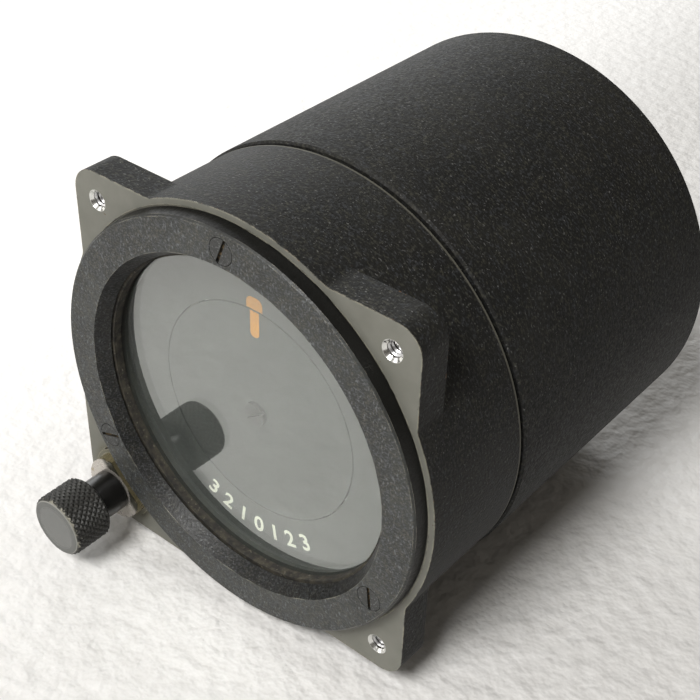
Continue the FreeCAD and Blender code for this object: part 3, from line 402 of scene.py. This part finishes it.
def bright_plate():
    """Plated metal, cream on the face; the part of the face towards the bezel is dark olive, stain together
    with painted shadow of the knob.
    """
    surface = Surface("bright_plate", (0.62, 0.58, 0.52), 0.3, 0.75)
    stain = surface.ramp(surface.noise(1.6, 4.0), 0.58, 0.8)
    wall = surface.ramp(surface.axis(1), -3.15, -2.9)
    # Stain and painted shadow: dark olive on the face beyond the collar, on the side towards the bezel.
    inner = surface.math("ADD", surface.axis(0), surface.axis(2))
    inner = surface.ramp(inner, KNOB_AXIS[0] + KNOB_AXIS[1] + 2.5, KNOB_AXIS[0] + KNOB_AXIS[1] + 4.5)
    inner = surface.math("MULTIPLY", inner, surface.ramp(surface.radius(*KNOB_AXIS), 4.5, 4.7))
    face = surface.mix(inner, (0.58, 0.545, 0.50), (0.065, 0.062, 0.046))
    tone = surface.mix(wall, face, (0.30, 0.26, 0.15))
    surface.set("Base Color", surface.mix(stain, tone, (0.42, 0.35, 0.22)))
    surface.set("Roughness", surface.ramp(surface.noise(0.8, 3.0, seed=0.2), 0.3, 0.7, 0.24, 0.4))
    surface.bump(surface.noise(0.8, 2.0), 0.004)
    return surface.material


def clear_glass():
    """A pane that lets the lamps' light through to the dial and mirrors what is in front of it."""
    surface = Surface("glass", (0.97, 0.985, 0.975), 0.02)
    surface.set("Transmission Weight", 1.0)
    surface.set("IOR", 1.52)
    surface.set("Coat Weight", surface.ramp(surface.axis(1), 2.3, 2.2))
    surface.set("Coat IOR", 2.0)
    surface.set("Specular Tint", (0.9, 1.0, 0.93, 1))
    surface.set("Coat Roughness", 0.02)
    surface.set("Roughness", surface.ramp(surface.noise(12, 3.0), 0.4, 0.8, 0.015, 0.035))
    surface.bump(surface.noise(24, 1.0), 0.002)
    clear = surface.add("ShaderNodeBsdfTransparent", {"Color": (0.9, 0.93, 0.91, 1)})
    rays = surface.add("ShaderNodeLightPath")
    both = surface.add("ShaderNodeMixShader", {0: rays.outputs["Is Shadow Ray"],
                                               1: surface.shader.outputs[0], 2: clear.outputs[0]})
    surface.links.new(both.outputs[0], surface.output.inputs["Surface"])
    return surface.material


def turned_metal(name, tone, roughness):
    """Bare metal with tool marks along its turning and small changes of tone."""
    surface = Surface(name, tone, roughness, 1.0)
    cloud = surface.noise(5, 4.0, seed=0.1)
    dull = [c * (1 - 0.18) for c in tone]
    surface.set("Base Color", surface.mix(cloud, dull, tone))
    marks = surface.noise(0.25, 2.0, (1, 8, 1))
    surface.set("Roughness", surface.ramp(marks, 0.3, 0.7, roughness - 0.06, roughness + 0.08))
    surface.bump(marks, 0.004)
    return surface.material


def laminated_steel():
    """Sheets half a millimetre thick, stacked along the axis."""
    surface = Surface("laminated_steel", (0.26, 0.26, 0.28), 0.45, 0.9)
    sheets = surface.math("FRACT", surface.math("MULTIPLY", surface.axis(1), 2.0))
    joint = surface.ramp(surface.math("ABSOLUTE", surface.math("SUBTRACT", sheets, 0.5)), 0.38, 0.48)
    surface.set("Base Color", surface.mix(joint, (0.28, 0.28, 0.30), (0.07, 0.06, 0.05)))
    surface.set("Roughness", surface.ramp(surface.noise(0.8), 0.3, 0.7, 0.38, 0.55))
    surface.bump(joint, -0.03)
    return surface.material


def wound_copper():
    """Enamelled wire in rings about the axis."""
    surface = Surface("copper", (0.55, 0.24, 0.12), 0.32, 0.8)
    turns = surface.math("SINE", surface.math("MULTIPLY", surface.radius(), 18.0))
    cloud = surface.noise(1.5, 3.0)
    surface.set("Base Color", surface.mix(cloud, (0.42, 0.15, 0.07), (0.62, 0.28, 0.14)))
    surface.set("Roughness", surface.ramp(cloud, 0.3, 0.7, 0.25, 0.45))
    surface.bump(turns, 0.05)
    return surface.material


def moulded(name, light, dark, roughness, size):
    """Moulded plastic or pressed carbon with clouds about size millimetres across."""
    surface = Surface(name, dark, roughness)
    cloud = surface.noise(size, 4.0)
    surface.set("Base Color", surface.mix(cloud, dark, light))
    surface.set("Roughness", surface.ramp(surface.noise(size * 0.5, 2.0, seed=0.2), 0.3, 0.7,
                                          roughness - 0.08, roughness + 0.1))
    surface.bump(surface.noise(size * 0.25, 2.0), 0.02)
    return surface.material


def felt():
    """Oiled felt with fibres."""
    surface = Surface("felt", (0.2, 0.17, 0.12), 0.95)
    fibres = surface.noise(0.25, 4.0, (1, 4, 1))
    surface.set("Base Color", surface.mix(fibres, (0.12, 0.10, 0.07), (0.27, 0.24, 0.17)))
    surface.set("Sheen Weight", 0.4)
    surface.bump(fibres, 0.08)
    return surface.material


def rear_blackened():
    """Blackened steel, worn bright at its edges."""
    surface = Surface("blackened_steel_plain", (0.04, 0.04, 0.04), 0.4, 0.5)
    worn = surface.math("MULTIPLY", surface.edges(0.2, 0.03, 0.15), surface.noise(1.2, 3.0))
    ground = surface.mix(surface.noise(0.8, 3.0), (0.025, 0.025, 0.026), (0.05, 0.048, 0.045))
    surface.set("Base Color", surface.mix(worn, ground, (0.35, 0.33, 0.30)))
    surface.set("Roughness", surface.ramp(surface.noise(0.5), 0.3, 0.7, 0.34, 0.5))
    surface.bump(surface.noise(0.3, 2.0), 0.01)
    return surface.material


def dial_paint(name, colour, chipped):
    """Old paint of one colour, faded in places and chipped where noise passes the value chipped."""
    surface = Surface(name, colour, 0.6)
    patch = surface.noise(0.7, 4.0, seed=0.3)
    faded = [c * 0.82 for c in colour]
    tone = surface.mix(surface.noise(2.0, 3.0), faded, colour)
    chips = surface.ramp(patch, chipped, chipped + 0.05)
    surface.set("Base Color", surface.mix(chips, tone, [c * 0.35 for c in colour]))
    surface.set("Roughness", surface.ramp(patch, 0.3, 0.7, 0.55, 0.7))
    surface.bump(surface.noise(0.3, 2.0), 0.01)
    return surface.material


def mesh_object(name, points, faces, material, body):
    """A piece from points in millimetres, riding on a body."""
    mesh = bpy.data.meshes.new(name)
    mesh.from_pydata([Vector(p) * MM for p in points], [], faces)
    work = bmesh.new()
    work.from_mesh(mesh)
    bmesh.ops.recalc_face_normals(work, faces=work.faces)
    work.to_mesh(mesh)
    work.free()
    mesh.materials.append(material)
    piece = bpy.data.objects.new(name, mesh)
    bpy.context.scene.collection.objects.link(piece)
    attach(piece, body)
    return piece


def knurl_height(angle, y):
    """0 at the groove bottoms and 1 on the flats of a diamond knurl."""
    pitch = 2 * math.pi * KNOB_RADIUS / KNURL_TEETH
    turn = angle / (2 * math.pi) * KNURL_TEETH
    slant = y / pitch
    low = 1.0
    for wave in (turn + slant, turn - slant):
        low = min(low, abs(wave - math.floor(wave) - 0.5) * 2)
    return min(1.0, low * 1.25)


def knurled_knob(material):
    """The knob with its diamond knurl, its collar, the bore for the shaft and the set screw's hole."""
    knurl_start = -KNOB_SHOULDER - KNOB_CHAMFER
    knurl_end = -KNOB_FACE + KNOB_CHAMFER
    flat = KNOB_RADIUS - KNOB_CHAMFER
    profile = [(0.0, -KNOB_FACE, 0), (flat - 0.5, -KNOB_FACE, 0), (flat - 0.1, -KNOB_FACE, 0),
               (flat, -KNOB_FACE + 0.05, 0), (KNOB_RADIUS - 0.34, knurl_end - 0.33, 0),
               (KNOB_RADIUS - 0.12, knurl_end - 0.12, 0.7)]
    for row in range(KNURL_ROWS + 1):
        profile.append((KNOB_RADIUS, knurl_end + (knurl_start - knurl_end) * row / KNURL_ROWS, 1.0))
    profile += [(KNOB_RADIUS - 0.12, knurl_start + 0.12, 0.7), (KNOB_RADIUS - 0.34, knurl_start + 0.33, 0),
                (flat, -KNOB_SHOULDER, 0)]
    for step in range(5):
        bend = math.pi / 2 * step / 4
        profile.append((COLLAR_RADIUS + NECK_RADIUS * (1 - math.sin(bend)),
                        -KNOB_SHOULDER + NECK_RADIUS * (1 - math.cos(bend)), 0))
    profile += [(COLLAR_RADIUS, -KNOB_BACK - 0.25, 0), (COLLAR_RADIUS - 0.25, -KNOB_BACK, 0),
                (SHAFT_RADIUS, -KNOB_BACK, 0), (SHAFT_RADIUS, -KNOB_FACE + BORE_FLOOR, 0),
                (0.0, -KNOB_FACE + BORE_FLOOR, 0)]
    points, rings = [], []
    x, z = KNOB_AXIS
    for radius, y, knurl in profile:
        if radius == 0.0:
            rings.append([len(points)])
            points.append((x, y, z))
            continue
        ring = []
        for column in range(KNURL_COLUMNS):
            angle = 2 * math.pi * column / KNURL_COLUMNS
            out = radius - knurl * KNURL_DEPTH * (1 - knurl_height(angle, y))
            ring.append(len(points))
            points.append((x + out * math.cos(angle), y, z + out * math.sin(angle)))
        rings.append(ring)
    faces = []
    for first, second in zip(rings, rings[1:]):
        for column in range(KNURL_COLUMNS):
            after = (column + 1) % KNURL_COLUMNS
            if len(first) == 1:
                faces.append((first[0], second[column], second[after]))
            elif len(second) == 1:
                faces.append((first[column], second[0], first[after]))
            else:
                faces.append((first[column], second[column], second[after], first[after]))
    knob = mesh_object("knurled_knob", points, faces, material, "knob")
    cut_set_screw_hole(knob)
    shade_by_angle(knob, 32)
    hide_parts("knob")


def cut_set_screw_hole(knob):
    """The set screw's hole, bored into the collar from the outside."""
    mesh = bpy.data.meshes.new("cutter")
    work = bmesh.new()
    bmesh.ops.create_cone(work, cap_ends=True, segments=32, radius1=SET_SCREW_RADIUS * MM,
                          radius2=SET_SCREW_RADIUS * MM, depth=SET_SCREW_HOLE_DEPTH * MM)
    out = Vector((1, 0, -1)).normalized()
    place = Vector((KNOB_AXIS[0], SET_SCREW_Y, KNOB_AXIS[1])) * MM + out * SET_SCREW_HOLE_MIDDLE * MM
    work.transform(Matrix.Translation(place) @ out.to_track_quat("Z", "Y").to_matrix().to_4x4())
    work.to_mesh(mesh)
    work.free()
    cutter = bpy.data.objects.new("cutter", mesh)
    bpy.context.scene.collection.objects.link(cutter)
    cut = knob.modifiers.new("set_screw_hole", "BOOLEAN")
    cut.operation = "DIFFERENCE"
    cut.object = cutter
    cut.solver = "EXACT"
    apply_modifiers(knob)
    bpy.data.objects.remove(cutter)


def apply_modifiers(piece):
    graph = bpy.context.evaluated_depsgraph_get()
    made = bpy.data.meshes.new_from_object(piece.evaluated_get(graph))
    piece.modifiers.clear()
    piece.data = made


def shade_by_angle(piece, degrees):
    """Smooth shading, with edges sharper than degrees kept hard."""
    mesh = piece.data
    mesh.polygons.foreach_set("use_smooth", [True] * len(mesh.polygons))
    work = bmesh.new()
    work.from_mesh(mesh)
    for edge in work.edges:
        if len(edge.link_faces) == 2 and edge.calc_face_angle() > math.radians(degrees):
            edge.smooth = False
    work.to_mesh(mesh)
    work.free()


def thread(name, x, z, material):
    """The screw thread in one lug hole: a ridge that winds down the bore."""
    steps = 40
    pitch, root, crest = THREAD_PITCH, HOLE_RADIUS + 0.02, HOLE_RADIUS - THREAD_DEPTH
    points, faces = [], []
    total = THREAD_TURNS * steps
    for step in range(total + 1):
        angle = 2 * math.pi * step / steps
        y = THREAD_START + pitch * step / steps
        fade = min(1.0, step / 10, (total - step) / 10)
        top = root + (crest - root) * fade
        for radius, shift in ((root, -pitch * 0.42), (top, -pitch * 0.06), (top, pitch * 0.06),
                              (root, pitch * 0.42)):
            points.append((x + radius * math.cos(angle), y + shift, z + radius * math.sin(angle)))
    for step in range(total):
        a, b = step * 4, step * 4 + 4
        for side in range(4):
            other = (side + 1) % 4
            faces.append((a + side, a + other, b + other, b + side))
    faces += [(3, 2, 1, 0), tuple(total * 4 + i for i in range(4))]
    piece = mesh_object(name, points, faces, material, "case")


def paint_patch(name, outline, face, material, body):
    """A thin coat of paint on the dial: an outline in X and Z, raised a little in front of its face."""
    count = len(outline)
    points = [(x, face - PAINT_THICKNESS, z) for x, z in outline]
    points += [(x, face + PAINT_SUNK, z) for x, z in outline]
    faces = [tuple(range(count)), tuple(reversed(range(count, 2 * count)))]
    for i in range(count):
        j = (i + 1) % count
        faces.append((i, j, count + j, count + i))
    piece = mesh_object(name, points, faces, material, body)


def rounded_bar(width, low, high, low_radius, high_radius):
    """Outline of an upright bar on X = 0, with its own corner radius at each end."""
    half, points = width / 2, []
    corners = ((half, high, high_radius, 0), (-half, high, high_radius, 90),
               (-half, low, low_radius, 180), (half, low, low_radius, 270))
    for x, z, radius, start in corners:
        centre_x = x - math.copysign(radius, x)
        centre_z = z - radius * (1 if start < 180 else -1)
        steps = 8 if radius else 0
        for step in range(steps + 1):
            angle = math.radians(start + (90 * step / steps if steps else 45))
            points.append((centre_x + radius * math.cos(angle), centre_z + radius * math.sin(angle)))
    return points


def indexes(orange):
    """The fixed index on the dial ring and the moving one on the disc."""
    paint_patch("fixed_index", rounded_bar(3.5, DISC_RADIUS + 0.33, 23.95, 0.0, 1.25), DIAL_FACE,
                orange, "case")
    paint_patch("moving_index", rounded_bar(1.95, 16.05, DISC_RADIUS - 0.06, 0.9, 0.0),
                DIAL_FACE, orange, "rotor")


def numerals(white):
    """Plain numbers along the dial's lower rim, a scale on both sides of zero."""
    figures = "3210123"
    for order, text in enumerate(figures):
        curve = bpy.data.curves.new("figure", "FONT")
        curve.body = text
        curve.size = FIGURE_HEIGHT * MM / FONT_CAPITAL_SHARE
        curve.align_x = "CENTER"
        curve.align_y = "CENTER"
        curve.extrude = PAINT_THICKNESS / 2 * MM
        curve.offset = FIGURE_BOLDNESS * MM
        curve.resolution_u = 4
        source = bpy.data.objects.new("figure", curve)
        bpy.context.scene.collection.objects.link(source)
        bpy.context.view_layer.update()
        graph = bpy.context.evaluated_depsgraph_get()
        mesh = bpy.data.meshes.new_from_object(source.evaluated_get(graph))
        bpy.data.objects.remove(source)
        swing = math.radians((order - len(figures) // 2) * FIGURE_SPACING)
        place = Vector((FIGURE_RADIUS * math.sin(swing), DIAL_FACE - PAINT_THICKNESS / 2,
                        -FIGURE_RADIUS * math.cos(swing))) * MM
        upright = Matrix.Rotation(math.radians(90), 4, "X")
        mesh.transform(Matrix.Translation(place) @ Matrix.Rotation(-swing, 4, "Y") @ upright)
        mesh.materials.clear()
        mesh.materials.append(white)
        piece = bpy.data.objects.new(f"dial_figure_{order}", mesh)
        bpy.context.scene.collection.objects.link(piece)
        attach(piece, "case")


def slot_materials():
    """One material for each material slot of the record."""
    return {
        "black_crinkle": rear_case_paint(),
        "black_enamel": bezel_paint(),
        "blackened_steel": rear_blackened(),
        "glass": clear_glass(),
        "gasket": worn_gasket(),
        "dial_black": dial_lacquer(),
        "knob_black": knob_finish(),
        "bright_plate": bright_plate(),
        "steel": turned_metal("steel", (0.56, 0.56, 0.57), 0.3),
        "brass": turned_metal("brass", (0.72, 0.52, 0.24), 0.28),
        "aluminium": turned_metal("aluminium", (0.68, 0.68, 0.69), 0.34),
        "laminated_steel": laminated_steel(),
        "copper": wound_copper(),
        "insulator": moulded("insulator", (0.10, 0.055, 0.03), (0.05, 0.026, 0.015), 0.4, 1.2),
        "carbon": moulded("carbon", (0.06, 0.06, 0.06), (0.03, 0.03, 0.03), 0.6, 0.6),
        "felt": felt(),
    }


def dress_nodes(materials):
    """Every CAD node takes the material of its slot, or one of its own."""
    # The ring gear's brass is painted near black, as painted shade behind the gap round the dial disc.
    own = {"front_case": front_case_paint(), "bezel_screws": bezel_screw_steel(),
           "ring_gear": turned_metal("brass_darkened_as_shade", (0.045, 0.032, 0.014), 0.5)}
    slots = {part["node"]: part["material_slot"] for part in frame["record"]["subparts"]}
    for name, node in frame["nodes"].items():
        node.data.materials.clear()
        node.data.materials.append(own.get(name) or materials[slots[name]])


def make_floor():
    """A sheet of rough white paper, which glows a little at the left as in the photograph."""
    count = FLOOR_SIZE // FLOOR_STEP
    half = FLOOR_SIZE / 2
    points = [Vector((i * FLOOR_STEP - half, j * FLOOR_STEP - half, FLOOR_Z)) * MM
              for j in range(count + 1) for i in range(count + 1)]
    row = count + 1
    faces = [(j * row + i, j * row + i + 1, (j + 1) * row + i + 1, (j + 1) * row + i)
             for j in range(count) for i in range(count)]
    mesh = bpy.data.meshes.new("floor")
    mesh.from_pydata(points, [], faces)
    floor = bpy.data.objects.new("floor", mesh)
    bpy.context.scene.collection.objects.link(floor)
    surface = Surface("floor", (0.8, 0.795, 0.785), 0.7)
    paper = surface.noise(3.0, 3.0)
    surface.set("Base Color", surface.mix(surface.ramp(paper, 0.3, 0.7), (0.80, 0.79, 0.775),
                                          (0.84, 0.832, 0.82)))
    surface.set("Specular IOR Level", 0.2)
    away = surface.ramp(surface.radius(), 90, 240, 1.0, 0.15)
    surface.bump(surface.math("MULTIPLY", surface.noise(3.6, 2.5, seed=0.5), away), 0.95)
    rays = surface.add("ShaderNodeLightPath")
    seen = rays.outputs["Is Camera Ray"]
    bright = surface.ramp(surface.axis(0), -20, -110, 0.0, 0.3)
    glow = surface.add("ShaderNodeEmission", {"Color": (1, 0.995, 0.985, 1),
                                              "Strength": surface.math("MULTIPLY", seen, bright)})
    both = surface.add("ShaderNodeAddShader", {0: surface.shader.outputs[0], 1: glow.outputs[0]})
    surface.links.new(both.outputs[0], surface.output.inputs["Surface"])
    mesh.materials.append(surface.material)


def make_world():
    """A dim warm room that lights the object, and a white backdrop for the camera."""
    world = bpy.data.worlds.new("studio")
    bpy.context.scene.world = world
    world.use_nodes = True
    nodes, links = world.node_tree.nodes, world.node_tree.links
    nodes.clear()
    output = nodes.new("ShaderNodeOutputWorld")
    room = nodes.new("ShaderNodeBackground")
    room.inputs["Color"].default_value = (1.0, 0.92, 0.80, 1)
    room.inputs["Strength"].default_value = 0.12
    backdrop = nodes.new("ShaderNodeBackground")
    backdrop.inputs["Color"].default_value = (1, 1, 1, 1)
    rays = nodes.new("ShaderNodeLightPath")
    both = nodes.new("ShaderNodeMixShader")
    links.new(rays.outputs["Is Camera Ray"], both.inputs[0])
    links.new(room.outputs[0], both.inputs[1])
    links.new(backdrop.outputs[0], both.inputs[2])
    links.new(both.outputs[0], output.inputs[0])


def area_light(name, place, aim, size, power, colour):
    data = bpy.data.lights.new(name, "AREA")
    data.shape = "DISK"
    data.size = size
    data.energy = power
    data.color = colour
    light = bpy.data.objects.new(name, data)
    light.location = place
    light.rotation_euler = (Vector(aim) - Vector(place)).to_track_quat("-Z", "Y").to_euler()
    bpy.context.scene.collection.objects.link(light)


def make_lights():
    """A key lamp above the front, a window at the back left and a fill at the left."""
    area_light("key", (0.05, -0.60, 0.79), (0, 0.03, 0), 0.42, 9.8, (1.0, 0.99, 0.97))
    area_light("window", (-0.62, 0.58, 0.30), (0, 0.05, 0), 0.8, 3.6, (0.97, 0.99, 1.0))
    area_light("fill", (-0.75, -0.60, 0.35), (-0.03, 0, 0), 0.7, 2.6, (1.0, 0.98, 0.95))


def make_camera():
    """The camera at the photograph's place and angle."""
    data = bpy.data.cameras.new("camera")
    data.lens = CAMERA_LENS
    data.sensor_width = SENSOR
    data.clip_start = 0.01
    camera = bpy.data.objects.new("camera", data)
    columns = (CAMERA_RIGHT, [-c for c in CAMERA_DOWN], [-c for c in CAMERA_AHEAD])
    turn = Matrix(columns).transposed().to_4x4()
    camera.matrix_world = Matrix.Translation(CAMERA_PLACE) @ turn
    bpy.context.scene.collection.objects.link(camera)
    bpy.context.scene.camera = camera


materials = slot_materials()
dress_nodes(materials)
knurled_knob(materials["knob_black"])
for place, x, z in (("top_left", -HOLE, HOLE), ("top_right", HOLE, HOLE), ("bottom_right", HOLE, -HOLE)):
    thread(f"thread_{place}", x, z, materials["aluminium"])
indexes(dial_paint("index_orange", (0.56, 0.235, 0.008), 0.66))
numerals(dial_paint("figure_white", (0.78, 0.79, 0.66), 0.64))
make_floor()
make_world()
make_lights()
make_camera()
bpy.context.scene.view_settings.view_transform = "Standard"
